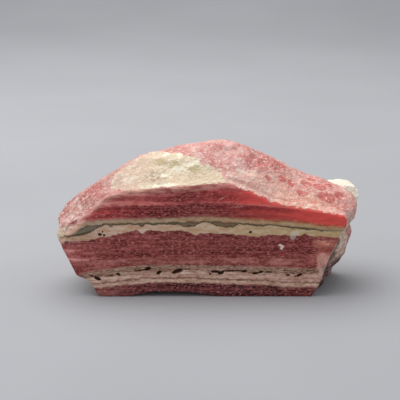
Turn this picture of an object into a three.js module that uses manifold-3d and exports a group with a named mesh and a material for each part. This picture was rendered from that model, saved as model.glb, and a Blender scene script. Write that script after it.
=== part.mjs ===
// A thick slice of banded rhodochrosite, in millimetres, +Z up.
// The front (-Y) is one flat saw cut across the layers, and every other side is broken stone.
// The origin is at the middle of the bounding box's bottom, where the stone rests.
import * as THREE from "three";
import { ImprovedNoise } from "three/addons/math/ImprovedNoise.js";
import { mergeVertices } from "three/addons/utils/BufferGeometryUtils.js";
import Module from "manifold-3d";

// Driving dimensions: the finished slice fills this box exactly.
const WIDTH = 104.5;
const DEPTH = 40;
const HEIGHT = 50.5;

// Outlines of the stone across its depth, as [x, z] in mm, clockwise from the left tip, seen from the front.
// y is the distance behind the saw cut, and x runs from the middle of the cut face.
const CUT_OUTLINE = {
  y: 0,
  points: [
    [-51.0, 22.4], [-50.0, 24.2], [-41.8, 28.1], [-38.5, 29.2], [-36.5, 32.0], [-33.5, 35.2], [-25.6, 37.2],
    [-14.0, 37.7], [-6.0, 38.3], [6.0, 39.4], [12.0, 37.8], [22.0, 33.6], [31.0, 31.4], [46.6, 28.4],
    [47.4, 25.3], [45.2, 21.6], [44.0, 18.8], [41.2, 14.0], [40.2, 9.4], [38.4, 3.9], [37.0, 1.7],
    [35.5, -0.7], [8.0, -0.7], [-5.7, 1.5], [-19.3, 1.6], [-29.0, -0.7], [-36.4, -0.7], [-37.6, 1.0],
    [-39.5, 4.6], [-40.4, 5.9], [-44.4, 7.0], [-45.3, 9.2], [-47.5, 14.1], [-49.6, 18.5], [-50.8, 20.4],
  ],
};
const RIDGE_OUTLINE = {
  y: 17,
  points: [
    [-50.6, 22.0], [-50.2, 25.2], [-49.0, 27.6], [-47.0, 30.2], [-42.5, 33.6], [-37.9, 36.8], [-33.7, 39.7],
    [-29.5, 42.2], [-25.4, 44.2], [-21.2, 46.1], [-13.0, 48.3], [-4.7, 49.9], [-0.6, 50.8], [3.5, 50.4],
    [9.7, 49.3], [15.9, 47.8], [20.0, 45.9], [24.2, 43.4], [30.4, 39.6], [34.6, 37.8], [41.0, 36.4],
    [45.4, 34.8], [49.6, 32.6], [51.8, 30.4], [52.0, 27.4], [51.0, 24.0], [49.4, 21.5], [48.9, 17.5],
    [48.4, 12.1], [46.8, 7.8], [43.4, 4.6], [41.4, 1.6], [39.6, -0.7],
    [10.0, 1.6], [-20.0, 2.2], [-37.0, 0.8], [-45.5, 12.0],
  ],
};
const REAR_OUTLINE = {
  y: 29,
  points: [
    [-45.0, 19.5], [-40.0, 28.0], [-27.0, 37.5], [-10.0, 43.4], [4.0, 45.2], [16.0, 42.4], [30.0, 36.4],
    [44.0, 30.5], [50.0, 26.0], [50.2, 16.5], [49.4, 10.6], [47.4, 5.0], [44.0, 1.2], [42.0, -0.8],
    [0.0, -0.8], [-30.0, -0.6], [-40.5, 7.0],
  ],
};
const BACK_OUTLINE = {
  y: 37,
  points: [
    [-35.0, 18.0], [-24.0, 30.0], [-2.0, 37.0], [20.0, 34.0], [38.0, 27.0], [45.0, 16.0], [38.0, 6.0],
    [18.0, 2.5], [-12.0, 2.2], [-29.0, 6.5],
  ],
};
const OUTLINES = [CUT_OUTLINE, RIDGE_OUTLINE, REAR_OUTLINE, BACK_OUTLINE];
const OUTLINE_CENTRE = { x: 0, z: 18 };

// Layers of the stone, from the bottom up: the height in mm at which each starts in the middle of the cut
// face, and how far its broken sides stand out (+) or are worn back (-). The pale layers are softer.
const LAYERS = [
  { from: 0, proud: 0.5 }, // lower rose band
  { from: 4.6, proud: -0.9 }, // porous tan band
  { from: 9.8, proud: 0.6 }, // main rose band
  { from: 21.2, proud: -0.7 }, // cream band
  { from: 26.6, proud: 0.4 }, // crimson band
  { from: 37.0, proud: 0 }, // upper rose band
];
const LAYER_EDGE = 0.8; // height over which one layer's relief turns into the next
const LAYER_SAG = 3.0; // how far the layers droop from the middle to the ends
const RELIEF_START = 0.5; // ledges and lumps grow from nothing at the cut to their full height behind it
const RELIEF_FULL = 6;

// A worn groove in the right flank, just behind the edge of the cut.
const SEAM = { y: 4.5, halfWidth: 2.6, deep: 1.5 };
const SEAM_FACING = [0.6, 0.9]; // it fades in as the side turns to the right, from 0 to 1

// Broken texture: size of the lumps and how far they stand out.
const LUMPS = [
  { size: 15, height: 1.3 },
  { size: 6.5, height: 1.0 },
  { size: 3.4, height: 0.5 },
];
const LUMPS_START = new THREE.Vector3(7.3, 2.1, 4.7); // the part of the noise that the stone takes
const CHIP_LUMPS = { size: 7, height: 0.9 };

// The mesh around and along the stone.
const STEPS_AROUND = 120;
const STEPS_DEEP = 16;
const STEPS_BACK = 9;
const BALL_EDGE = 3.5; // longest edge of a lumpy ball's triangles
const PIT_DETAIL = 2; // how many times a pit's triangles are divided
const FRONT_SPARE = 3; // rough stone in front of the saw cut, which the saw takes off
const BACK_BULGE = 2.5; // how far the middle of the back stands out behind its rim
const ASPECT = 0.44; // height to width of the stone, which spreads the steps around evenly

// A pale crystalline lump on the right rear shoulder.
const PALE_LUMP = { at: [46.6, 24.6, 28.4], radii: [7.0, 7.0, 6.4], lumps: { size: 3.8, height: 1.0 } };

// Breaks and chips: a point on the surface, the way it faces, and the big lumpy ball that hollows it out.
const CHIPS = [
  { at: [-48.6, 0, 20.8], faces: [-0.35, -1, -0.1], radius: 18, depth: 0.4 }, // left tip scoop
  { at: [-46.5, 5, 28.0], faces: [-0.75, -0.35, 0.75], radius: 25, depth: 0.8 }, // left shoulder break
  { at: [-42.5, 4, 5.0], faces: [-0.8, -0.3, -0.6], radius: 7, depth: 1.2 }, // lower left chip
  { at: [-29.0, 34, 22.0], faces: [-0.6, 1, 0.15], radius: 60, depth: 2.6 }, // rear left break
  { at: [31.0, 36, 16.0], faces: [0.4, 1, -0.25], radius: 60, depth: 2.0 }, // rear right break
  { at: [-8.0, 31, 42.0], faces: [-0.15, 0.8, 0.6], radius: 70, depth: 1.8 }, // rear top break
  { at: [28.0, 31, 36.0], faces: [0.25, 0.75, 0.65], radius: 50, depth: 1.4 }, // right shoulder break
  { at: [-6.0, 38, 4.0], faces: [0, 0.9, -0.45], radius: 40, depth: 1.6 }, // rear foot break
  { at: [2.0, 40, 19.0], faces: [0.05, 1, 0.1], radius: 60, depth: 1.8 }, // back break
];

// A flat flake broken off the right edge of the cut: its inner edge on the cut, its size along x, y and z,
// and the angle in degrees that its face turns back from the cut.
const FLAKE = { at: [37.4, 0, 11.3], size: [9, 6, 6.2], turn: 24 };

// Solution pits in the cut face: middle [x, z], half length, half height, depth and tilt in degrees.
const PITS = [
  { at: [-36.6, 6.6], half: [1.2, 0.55], deep: 1.4, tilt: -22 },
  { at: [-29.6, 8.2], half: [0.5, 0.35], deep: 0.8, tilt: -20 },
  { at: [-23.0, 9.4], half: [2.6, 0.45], deep: 1.3, tilt: 9 },
  { at: [-16.3, 8.5], half: [0.85, 0.5], deep: 1.1, tilt: 28 },
  { at: [-9.6, 9.0], half: [1.9, 0.6], deep: 1.5, tilt: 22 },
  { at: [3.4, 8.7], half: [2.0, 0.55], deep: 1.3, tilt: -6 },
  { at: [9.8, 9.1], half: [3.6, 0.4], deep: 1.2, tilt: 3 },
  { at: [17.2, 8.5], half: [2.1, 0.45], deep: 1.1, tilt: 5 },
  { at: [26.8, 7.6], half: [0.6, 0.35], deep: 0.8, tilt: 0 },
  { at: [31.0, 7.7], half: [1.1, 0.4], deep: 0.9, tilt: 24 },
  { at: [-36.2, 21.7], half: [0.75, 0.6], deep: 0.9, tilt: 0 },
  { at: [14.4, 22.6], half: [0.6, 0.45], deep: 0.7, tilt: 0 },
];

const ROSE = 0xc9736c;

const noise = new ImprovedNoise();
const wasm = await Module();
wasm.setup();

// Distance from the outlines' centre to an outline, in the direction [dx, dz].
function reach(points, dx, dz) {
  let far = 0;
  for (let i = 0; i < points.length; i++) {
    const ax = points[i][0] - OUTLINE_CENTRE.x;
    const az = points[i][1] - OUTLINE_CENTRE.z;
    const next = points[(i + 1) % points.length];
    const ex = next[0] - OUTLINE_CENTRE.x - ax;
    const ez = next[1] - OUTLINE_CENTRE.z - az;
    const cross = dx * ez - dz * ex;
    if (Math.abs(cross) < 1e-9) continue;
    const along = (ax * ez - az * ex) / cross;
    const share = (ax * dz - az * dx) / cross;
    if (along > 0 && share >= 0 && share <= 1) far = Math.max(far, along);
  }
  return far;
}

// The same distance at any depth y, on a smooth curve through all the outlines.
function reachAlong(dx, dz) {
  const depths = OUTLINES.map((outline) => outline.y);
  const reaches = OUTLINES.map((outline) => reach(outline.points, dx, dz));
  const curve = new THREE.CubicInterpolant(depths, reaches, 1);
  return (y) => curve.evaluate(y)[0];
}

// How far the broken side stands out at this point because of the layer it cuts.
function layerRelief(x, z) {
  const height = z + LAYER_SAG * (x / (WIDTH / 2)) ** 2;
  let relief = LAYERS[0].proud;
  for (let i = 1; i < LAYERS.length; i++) {
    const edge = LAYERS[i].from;
    const share = THREE.MathUtils.smoothstep(height, edge - LAYER_EDGE / 2, edge + LAYER_EDGE / 2);
    relief = THREE.MathUtils.lerp(relief, LAYERS[i].proud, share);
  }
  return relief;
}

// How far the worn groove goes into the right flank, for a point facing dx sideways.
function seamRelief(y, dx) {
  const across = (y - SEAM.y) / SEAM.halfWidth;
  return -SEAM.deep * Math.exp(-(across ** 2)) * THREE.MathUtils.smoothstep(dx, ...SEAM_FACING);
}

// Height of the broken lumps at this point.
function lumps(point) {
  let sum = 0;
  for (const { size, height } of LUMPS) {
    sum += height * noise.noise(...point.clone().divideScalar(size).add(LUMPS_START));
  }
  return sum;
}

// The direction of each step around the outlines' centre, and the stone's reach that way at any depth.
function spokes() {
  return Array.from({ length: STEPS_AROUND }, (_, k) => {
    const angle = (2 * Math.PI * k) / STEPS_AROUND;
    const dir = new THREE.Vector2(Math.cos(angle), ASPECT * Math.sin(angle)).normalize();
    return { dir, reachAt: reachAlong(dir.x, dir.y) };
  });
}

// A point of the rough stone: out along a spoke, back by depth y, and inwards by shrink on the back face.
function roughPoint({ dir, reachAt }, y, shrink) {
  const radius = shrink * reachAt(y);
  const p = new THREE.Vector3(
    OUTLINE_CENTRE.x + radius * dir.x,
    y + BACK_BULGE * (1 - shrink ** 2),
    OUTLINE_CENTRE.z + radius * dir.y,
  );
  const grown = THREE.MathUtils.smoothstep(y, RELIEF_START, RELIEF_FULL);
  const sideways = 1 - dir.y ** 2;
  const relief = grown * (lumps(p) + sideways * layerRelief(p.x, p.z)) + seamRelief(y, dir.x);
  const out = new THREE.Vector3(dir.x * shrink, 1 - shrink, dir.y * shrink).normalize();
  return p.addScaledVector(out, relief);
}

// The unsawn stone: rings of points from a flat front, which the saw removes, to the middle of the back.
function roughStone() {
  const rings = [];
  for (let j = 0; j <= STEPS_DEEP; j++) {
    rings.push([-FRONT_SPARE + ((BACK_OUTLINE.y + FRONT_SPARE) * j) / STEPS_DEEP, 1]);
  }
  for (let j = 1; j < STEPS_BACK; j++) rings.push([BACK_OUTLINE.y, 1 - j / STEPS_BACK]);
  const around = spokes();
  const points = rings.flatMap(([y, shrink]) => around.map((spoke) => roughPoint(spoke, y, shrink)));
  const positions = points.flatMap((point) => [...point]);
  const front = positions.length / 3;
  positions.push(OUTLINE_CENTRE.x, -FRONT_SPARE, OUTLINE_CENTRE.z);
  positions.push(...roughPoint(around[0], BACK_OUTLINE.y, 0));
  const faces = [];
  for (let k = 0; k < STEPS_AROUND; k++) {
    const next = (k + 1) % STEPS_AROUND;
    faces.push(front, k, next);
    for (let j = 0; j < rings.length - 1; j++) {
      const [a, b] = [j * STEPS_AROUND, (j + 1) * STEPS_AROUND];
      faces.push(a + k, b + k, b + next, a + k, b + next, a + next);
    }
    const last = (rings.length - 1) * STEPS_AROUND;
    faces.push(last + k, front + 1, last + next);
  }
  const geometry = new THREE.BufferGeometry();
  geometry.setAttribute("position", new THREE.Float32BufferAttribute(positions, 3));
  geometry.setIndex(faces);
  return geometry;
}

// A three.js geometry as a solid for cutting and joining.
function solid(geometry) {
  const plain = geometry.clone().deleteAttribute("normal").deleteAttribute("uv");
  const merged = mergeVertices(plain, 1e-4);
  return new wasm.Manifold(
    new wasm.Mesh({
      numProp: 3,
      vertProperties: merged.attributes.position.array,
      triVerts: new Uint32Array(merged.index.array),
    }),
  );
}

// A box given by its lowest and highest corners.
function boxBetween(low, high) {
  const size = new THREE.Vector3().subVectors(high, low);
  const middle = new THREE.Vector3().addVectors(low, high).multiplyScalar(0.5);
  return new THREE.BoxGeometry(size.x, size.y, size.z).translate(middle.x, middle.y, middle.z);
}

// A ball with flat facets, stretched to three radii.
function ball([rx, ry, rz], detail) {
  return new THREE.IcosahedronGeometry(1, detail).scale(rx, ry, rz);
}

// A ball around the point at, whose surface rises and falls in lumps of a size and height.
function lumpyBall(radii, at, { size, height }) {
  const detail = Math.ceil(Math.max(...radii) / BALL_EDGE);
  const geometry = ball(radii, detail).translate(...at);
  const centre = new THREE.Vector3(...at);
  const position = geometry.attributes.position;
  const p = new THREE.Vector3();
  const out = new THREE.Vector3();
  for (let i = 0; i < position.count; i++) {
    p.fromBufferAttribute(position, i);
    out.subVectors(p, centre).normalize();
    p.addScaledVector(out, height * noise.noise(p.x / size, p.y / size, p.z / size));
    position.setXYZ(i, ...p);
  }
  return geometry;
}

// The lumpy ball that hollows out a chip, sunk to the chip's depth.
function chipTool({ at, faces, radius, depth }) {
  const out = new THREE.Vector3(...faces).normalize();
  const centre = new THREE.Vector3(...at).addScaledVector(out, radius - depth);
  return lumpyBall([radius, radius, radius], centre, CHIP_LUMPS);
}

// The block that takes the flat flake off: it turns about the flake's inner edge.
function flakeTool() {
  const [length, thickness, height] = FLAKE.size;
  return new THREE.BoxGeometry(length, thickness, height)
    .translate(length / 2, -thickness / 2, 0)
    .rotateZ(THREE.MathUtils.degToRad(FLAKE.turn))
    .translate(...FLAKE.at);
}

// The pocket that a pit takes out of the cut face.
function pitTool({ at, half, deep, tilt }) {
  return ball([half[0], deep, half[1]], PIT_DETAIL)
    .rotateY(-THREE.MathUtils.degToRad(tilt))
    .translate(at[0], 0, at[1]);
}

// The finished stone, sawn, chipped and pitted, and level where it rests.
function slice() {
  const far = 2 * WIDTH;
  const sawnOff = boxBetween(new THREE.Vector3(-far, -far, -far), new THREE.Vector3(far, 0, far));
  const below = boxBetween(new THREE.Vector3(-far, -far, -far), new THREE.Vector3(far, far, 0));
  let stone = solid(roughStone());
  stone = stone.add(solid(lumpyBall(PALE_LUMP.radii, PALE_LUMP.at, PALE_LUMP.lumps)));
  for (const chip of CHIPS) stone = stone.subtract(solid(chipTool(chip)));
  stone = stone.subtract(solid(flakeTool()));
  stone = stone.subtract(solid(sawnOff)).subtract(solid(below));
  for (const pit of PITS) stone = stone.subtract(solid(pitTool(pit)));
  return stone;
}

// The solid's mesh, sized to the driving dimensions with its origin under the middle.
function finished(stone) {
  const mesh = stone.getMesh();
  const geometry = new THREE.BufferGeometry();
  geometry.setAttribute("position", new THREE.BufferAttribute(mesh.vertProperties, 3));
  geometry.setIndex(new THREE.BufferAttribute(mesh.triVerts, 1));
  geometry.computeBoundingBox();
  const { min, max } = geometry.boundingBox;
  geometry.translate(-(min.x + max.x) / 2, -(min.y + max.y) / 2, -min.z);
  geometry.scale(WIDTH / (max.x - min.x), DEPTH / (max.y - min.y), HEIGHT / (max.z - min.z));
  geometry.computeVertexNormals();
  return geometry;
}

const slab = new THREE.Mesh(
  finished(slice()),
  new THREE.MeshStandardMaterial({ color: ROSE, roughness: 0.6, metalness: 0, flatShading: true }),
);
slab.name = "rhodochrosite_slice";

const group = new THREE.Group();
group.add(slab);

export default group;
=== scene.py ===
# %% [markdown]
# # A sawn piece of banded rhodochrosite
#
# Rhodochrosite is a pink manganese carbonate that grows in layers. This piece was sawn once, so its front
# is flat and shows the layers, and it was broken everywhere else. The imported solid already has the right
# size and outline. Blender adds the fine relief of the broken stone and the look of the mineral.
#
# The first cell loads the imported solid. Nothing in it is moved, so it serves as the frame of the scene.

import bpy
import numpy as np
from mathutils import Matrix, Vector


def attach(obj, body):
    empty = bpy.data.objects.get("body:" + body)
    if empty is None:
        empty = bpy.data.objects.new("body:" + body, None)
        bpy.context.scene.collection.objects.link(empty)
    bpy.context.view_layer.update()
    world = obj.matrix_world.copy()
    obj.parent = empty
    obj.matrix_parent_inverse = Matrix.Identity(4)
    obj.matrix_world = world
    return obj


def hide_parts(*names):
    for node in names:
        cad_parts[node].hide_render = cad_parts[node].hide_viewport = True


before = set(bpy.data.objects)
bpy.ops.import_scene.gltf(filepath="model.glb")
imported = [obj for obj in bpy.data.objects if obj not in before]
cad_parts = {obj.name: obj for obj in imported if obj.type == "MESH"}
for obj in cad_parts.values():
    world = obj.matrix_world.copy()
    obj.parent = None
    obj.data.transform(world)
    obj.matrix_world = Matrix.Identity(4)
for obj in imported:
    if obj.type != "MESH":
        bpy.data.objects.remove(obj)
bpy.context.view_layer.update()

MM = 0.001  # the scene is in metres, and a stone is easier to describe in millimetres

# %% [markdown]
# ## Camera
#
# The photograph looks straight at the cut from 15 degrees above, from far enough away that the cut's
# edges hardly converge. A long lens at 0.44 m gives the same view.

# %% Camera
CAMERA_AT = Vector((-3.33, -448.84, 148.92)) * MM
CAMERA_AIM = Vector((-3.33, -19.97, 34.0)) * MM
LENS_MM = 120
NEAREST_MM = 10  # nothing closer than this is seen

bpy.ops.object.camera_add(location=CAMERA_AT)
camera = bpy.context.object
camera.rotation_euler = (CAMERA_AIM - CAMERA_AT).to_track_quat("-Z", "Y").to_euler()
camera.data.lens = LENS_MM
camera.data.clip_start = NEAREST_MM * MM
bpy.context.scene.camera = camera
bpy.context.scene.view_settings.view_transform = "Standard"
print("camera distance, mm:", round((CAMERA_AIM - CAMERA_AT).length / MM))

# %% [markdown]
# ## A helper for node trees
#
# Every finish here is a small tree of nodes. One function adds a node, gives it its settings, and fills or
# links its inputs. It returns an output, so that calls can be read like a calculation.
# Colours are written as the hex values that a paint program shows, and turned to linear light here.

# %% Node helper and colours
def colour(hex_value):
    """Turns an sRGB hex value into the linear colour that Blender's sockets take."""
    levels = [int(hex_value[i : i + 2], 16) / 255 for i in (1, 3, 5)]
    linear = [v / 12.92 if v <= 0.04045 else ((v + 0.055) / 1.055) ** 2.4 for v in levels]
    return (*linear, 1.0)


def add(tree, kind, inputs=None, out=0, stops=None, points=None, **settings):
    """Adds one node with its settings and links, and returns one of its outputs.
    stops are (position, hex) pairs of a colour ramp, and points are (x, y) pairs of a curve."""
    node = tree.nodes.new("ShaderNode" + kind)
    for name, value in settings.items():
        setattr(node, name, value)
    for key, value in (inputs or {}).items():
        if isinstance(value, bpy.types.NodeSocket):
            tree.links.new(value, node.inputs[key])
        else:
            node.inputs[key].default_value = value
    if stops:
        ramp = node.color_ramp.elements
        while len(ramp) > len(stops):
            ramp.remove(ramp[-1])
        while len(ramp) < len(stops):
            ramp.new(1.0)
        for element, (position, hex_value) in zip(ramp, stops):
            element.position = position
            element.color = colour(hex_value)
    if points:
        curve = node.mapping.curves[0]
        while len(curve.points) < len(points):
            curve.points.new(1.0, 1.0)
        for point, place in zip(curve.points, points):
            point.location = place
            point.handle_type = "VECTOR"
        node.mapping.update()
    return node.outputs[out]


def new_material(name):
    """A material with an empty tree, and the socket that its surface goes into."""
    material = bpy.data.materials.new(name)
    material.use_nodes = True
    tree = material.node_tree
    tree.nodes.clear()
    return material, tree, tree.nodes.new("ShaderNodeOutputMaterial").inputs["Surface"]


# %% [markdown]
# ## Floor and backdrop
#
# The stone stands on pale matt board that curves up far behind it, so there is no horizon line. One plane
# is enough: its back edge is extruded upwards, and the corner is bevelled into a wide sweep.

# %% Floor and backdrop
BOARD_WIDTH = 4.0
BOARD_FRONT = 2.0
BOARD_BACK = 1.15  # how far behind the stone the board turns upwards
BOARD_RISE = 1.6
SWEEP_RADIUS = 0.55
SWEEP_SEGMENTS = 32

bpy.ops.object.select_all(action="DESELECT")
bpy.ops.mesh.primitive_plane_add(size=1, location=(0, 0, 0))
board = bpy.context.object
board.name = "studio_board"
bpy.ops.object.mode_set(mode="EDIT")
bpy.ops.transform.resize(value=(BOARD_WIDTH, BOARD_FRONT + BOARD_BACK, 1))
bpy.ops.transform.translate(value=(0, (BOARD_BACK - BOARD_FRONT) / 2, 0))
bpy.ops.mesh.select_all(action="DESELECT")
bpy.ops.object.mode_set(mode="OBJECT")
for edge in board.data.edges:
    edge.select = all(board.data.vertices[v].co.y > BOARD_BACK - MM for v in edge.vertices)
bpy.ops.object.mode_set(mode="EDIT")
bpy.ops.mesh.select_mode(type="EDGE")
bpy.ops.mesh.extrude_region_move(TRANSFORM_OT_translate={"value": (0, 0, BOARD_RISE)})
bpy.ops.mesh.select_all(action="DESELECT")
bpy.ops.object.mode_set(mode="OBJECT")
for edge in board.data.edges:
    ends = [board.data.vertices[v].co for v in edge.vertices]
    edge.select = all(end.y > BOARD_BACK - MM and end.z < MM for end in ends)
bpy.ops.object.mode_set(mode="EDIT")
bpy.ops.mesh.bevel(offset=SWEEP_RADIUS, segments=SWEEP_SEGMENTS, affect="EDGES")
bpy.ops.object.mode_set(mode="OBJECT")
bpy.ops.object.shade_smooth()
print("board faces:", len(board.data.polygons))

# %% [markdown]
# The board is matt, faintly blue-grey card. It has no grain at this distance, only a very slight
# unevenness of tone.

# %% Board finish
BOARD_TONES = ("#a9aaad", "#adaeb1")
BOARD_CLOUD_MM = 90

card, tree, surface = new_material("matt_grey_card")
place = add(tree, "TexCoord", out="Object")
cloud = add(tree, "TexNoise", {"Vector": place, "Scale": 1 / (BOARD_CLOUD_MM * MM), "Detail": 2.0})
tone = add(tree, "ValToRGB", {0: cloud}, stops=[(0.3, BOARD_TONES[0]), (0.7, BOARD_TONES[1])])
paper = add(tree, "BsdfPrincipled", {"Base Color": tone, "Roughness": 0.95, "IOR": 1.4})
tree.links.new(paper, surface)
board.data.materials.append(card)

# %% [markdown]
# ## Light
#
# The photograph has soft light from overhead, a little behind the stone and to its left: the top is
# bright, the cut is in half shade, and a soft shadow falls to the right. A large area light makes the
# shadow, and a plain grey world gives the rest.

# %% Light
SKY_TONE = (0.98, 1.0, 1.035, 1.0)
SKY_STRENGTH = 0.56
SOFTBOX_AT = Vector((-0.17, 0.17, 0.56))
SOFTBOX_SIZE = (0.95, 0.75)
SOFTBOX_WATTS = 4.85

world = bpy.data.worlds.new("studio_air")
bpy.context.scene.world = world
world.use_nodes = True
world.node_tree.nodes["Background"].inputs["Color"].default_value = SKY_TONE
world.node_tree.nodes["Background"].inputs["Strength"].default_value = SKY_STRENGTH

bpy.ops.object.light_add(type="AREA", location=SOFTBOX_AT)
softbox = bpy.context.object
softbox.rotation_euler = (-SOFTBOX_AT).to_track_quat("-Z", "Y").to_euler()
softbox.data.shape = "RECTANGLE"
softbox.data.size, softbox.data.size_y = SOFTBOX_SIZE
softbox.data.energy = SOFTBOX_WATTS
print("softbox distance, m:", round(SOFTBOX_AT.length, 2))

# %% [markdown]
# ## The stone's mesh
#
# The solid has the stone's main shape in a few thousand triangles. Fine relief needs many more points,
# spread evenly, so a copy is rebuilt by a voxel remesh. The copy's loose triangles are merged first. The
# pale lump on the right shoulder is a cluster of blocky crystals, so a few turned blocks are joined to it
# before the remesh fuses everything.

# %% Copy and remesh
NODE = "rhodochrosite_slice"
VOXEL_MM = 0.49
MERGE_MM = 0.001
PALE_CRYSTALS = [
    # middle, size in mm, turn in degrees
    ((45.6, 3.6, 29.5), (8.0, 8.2, 9.2), (0, 10, 14)),
    ((47.2, 4.2, 28.4), (7.6, 7.4, 8.0), (6, 28, -6)),
    ((44.4, 9.2, 27.6), (7.4, 5.6, 7.0), (24, 10, 32)),
    ((47.0, 0.6, 26.6), (5.6, 5.0, 6.4), (-18, 26, 40)),
]

stone = bpy.data.objects.new("banded_stone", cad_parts[NODE].data.copy())
bpy.context.collection.objects.link(stone)
bpy.ops.object.select_all(action="DESELECT")
stone.select_set(True)
bpy.context.view_layer.objects.active = stone
bpy.ops.object.mode_set(mode="EDIT")
bpy.ops.mesh.select_all(action="SELECT")
bpy.ops.mesh.remove_doubles(threshold=MERGE_MM * MM)
bpy.ops.object.mode_set(mode="OBJECT")

for middle, size, turn in PALE_CRYSTALS:
    bpy.ops.object.select_all(action="DESELECT")
    bpy.ops.mesh.primitive_cube_add(size=MM, location=[v * MM for v in middle], scale=size,
                                    rotation=[np.radians(a) for a in turn])
    stone.select_set(True)
    bpy.context.view_layer.objects.active = stone
    bpy.ops.object.join()
remesh = stone.modifiers.new("even mesh", "REMESH")
remesh.mode = "VOXEL"
remesh.voxel_size = VOXEL_MM * MM
bpy.ops.object.modifier_apply(modifier=remesh.name)
print("remeshed faces:", len(stone.data.polygons))

# %% [markdown]
# ## Where the stone is broken
#
# The saw left the front flat, and the foot stays flat so that the stone stands firm. All relief is kept off
# these two by a vertex group that holds how broken the surface is at each point. More groups say where the
# cobbles are, where the relief is calmer, and where the saw's upper edge is worn.

# %% Vertex groups
CUT_Y_MM = -20.0
WEIGHT_STEPS = 20
SAW_EDGE = [
    # [x, z] in mm: where the flat cut ends at the top
    (-49, 21.0), (-44.9, 24.3), (-41.8, 27.8), (-38.7, 31.2), (-36.7, 33.0), (-32.0, 36.2), (-27.3, 37.5),
    (-9.0, 37.8), (3.9, 39.2), (10.0, 37.5), (15.6, 35.1), (21.0, 32.3), (27.7, 30.9), (37.8, 29.4),
    (45.2, 28.1),
]
# Each pair below is a start and a full value in mm: a weight rises from 0 to 1 between them.
BREAK_Y = (CUT_Y_MM + 0.2, CUT_Y_MM + 1.6)
BREAK_Z = (0.3, 1.6)
COBBLED_X = (27, 31)
COBBLED_Z = (29, 31)
COBBLED_BACK_Y = (-4, -1)
LUMP_MIDDLE = (46, 5)  # x and y
LUMP_RADIUS = (9.5, 7.5)
LUMP_Z = (22, 24)
CREAM_Z = (33, 36)
CREAM_LEFT_X = (-33, -29)
CREAM_RIGHT_X = (0, 5)
CREAM_BACK_Y = (-6, -2)
CREAM_CALM = 0.75  # the share of the relief that the cream patch loses
COBBLE_CALM = 0.5
LUMP_KEPT = 0.8  # the share of the relaxing that the lump's crystals are spared
SHARP_EDGE = ((-28, -31), (4, 9))  # x over which the worn edge comes in, left and right of the sharp part
WORN_BACK_Y = (CUT_Y_MM + 0.8, CUT_Y_MM + 3)
WORN_BELOW_MM = 0.1
WORN_HEIGHT_MM = 1.8
WORN_DEPTH_MM = 1.5


def vertex_places(piece):
    """The piece's points in millimetres, one row each."""
    flat = np.empty(len(piece.data.vertices) * 3, np.float32)
    piece.data.vertices.foreach_get("co", flat)
    return flat.reshape(-1, 3) / MM


def ramp(values, start, full):
    """0 before start, 1 after full, and even in between."""
    return np.clip((values - start) / (full - start), 0, 1)


def weigh(piece, name, weights):
    """Stores a weight for each point, in steps of one twentieth."""
    group = piece.vertex_groups.new(name=name)
    steps = np.round(weights * WEIGHT_STEPS).astype(int)
    for step in range(1, WEIGHT_STEPS + 1):
        group.add(np.flatnonzero(steps == step).tolist(), step / WEIGHT_STEPS, "REPLACE")


x, y, z = vertex_places(stone).T
broken = ramp(y, *BREAK_Y) * ramp(z, *BREAK_Z)
cobbled = broken * ramp(x, *COBBLED_X) * ramp(z, *COBBLED_Z) * (1 - ramp(y, *COBBLED_BACK_Y))
crystalline = ramp(np.hypot(x - LUMP_MIDDLE[0], y - LUMP_MIDDLE[1]), *LUMP_RADIUS) * ramp(z, *LUMP_Z)
creamy = broken * ramp(z, *CREAM_Z) * (1 - ramp(x, *CREAM_RIGHT_X)) * ramp(x, *CREAM_LEFT_X)
creamy = creamy * (1 - ramp(y, *CREAM_BACK_Y))
weigh(stone, "broken", broken)
weigh(stone, "cobbled", cobbled)
weigh(stone, "rough", broken * (1 - CREAM_CALM * creamy) * (1 - COBBLE_CALM * cobbled))
weigh(stone, "relaxed", broken * (1 - LUMP_KEPT * crystalline))
edge_z = np.interp(x, *zip(*SAW_EDGE))
worn = np.maximum(ramp(x, *SHARP_EDGE[0]), ramp(x, *SHARP_EDGE[1]))
worn = worn * ramp(z, edge_z - WORN_BELOW_MM, edge_z + WORN_HEIGHT_MM) * (1 - ramp(y, *WORN_BACK_Y))
weigh(stone, "worn", worn)
print("broken share:", round(float(broken.mean()), 2))

# %% [markdown]
# The remesh still shows the solid's flat triangles, so the broken part is relaxed first. The saw broke
# grains out of the cut's upper edge, so both its ends are pushed back into a slope. Then the broken part
# gets its relief: lumps, the faces of broken crystals, sugary grain, and a soft waviness over all. On the
# right of the top the crystals show as a pavement of rounded cobbles.

# %% Relief of the broken stone
RELIEF = [
    # name, texture, size in mm, height in mm, where
    ("lumps", "CLOUDS", 4.6, 0.7, "rough"),
    ("crystal faces", "VORONOI", 2.1, 0.4, "rough"),
    ("sugary grain", "CLOUDS", 0.9, 0.22, "rough"),
    ("cobbles", "VORONOI", 2.7, -0.6, "cobbled"),
    ("soft lumps", "CLOUDS", 6.0, 0.5, "broken"),
]
RELAX_FACTOR = 0.5
RELAX_ROUNDS = 22

relax = stone.modifiers.new("relax", "SMOOTH")
relax.factor = RELAX_FACTOR
relax.iterations = RELAX_ROUNDS
relax.vertex_group = "relaxed"
bpy.ops.object.modifier_apply(modifier=relax.name)
wear = stone.modifiers.new("worn edge", "DISPLACE")
wear.direction = "Y"
wear.mid_level = 0
wear.strength = WORN_DEPTH_MM * MM
wear.vertex_group = "worn"
bpy.ops.object.modifier_apply(modifier=wear.name)
for name, kind, size, height, where in RELIEF:
    texture = bpy.data.textures.new(name, kind)
    texture.noise_scale = size * MM
    push = stone.modifiers.new(name, "DISPLACE")
    push.texture = texture
    push.texture_coords = "LOCAL"
    push.strength = height * MM
    push.vertex_group = where
    bpy.ops.object.modifier_apply(modifier=push.name)
print("stone faces with relief:", len(stone.data.polygons))

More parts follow.
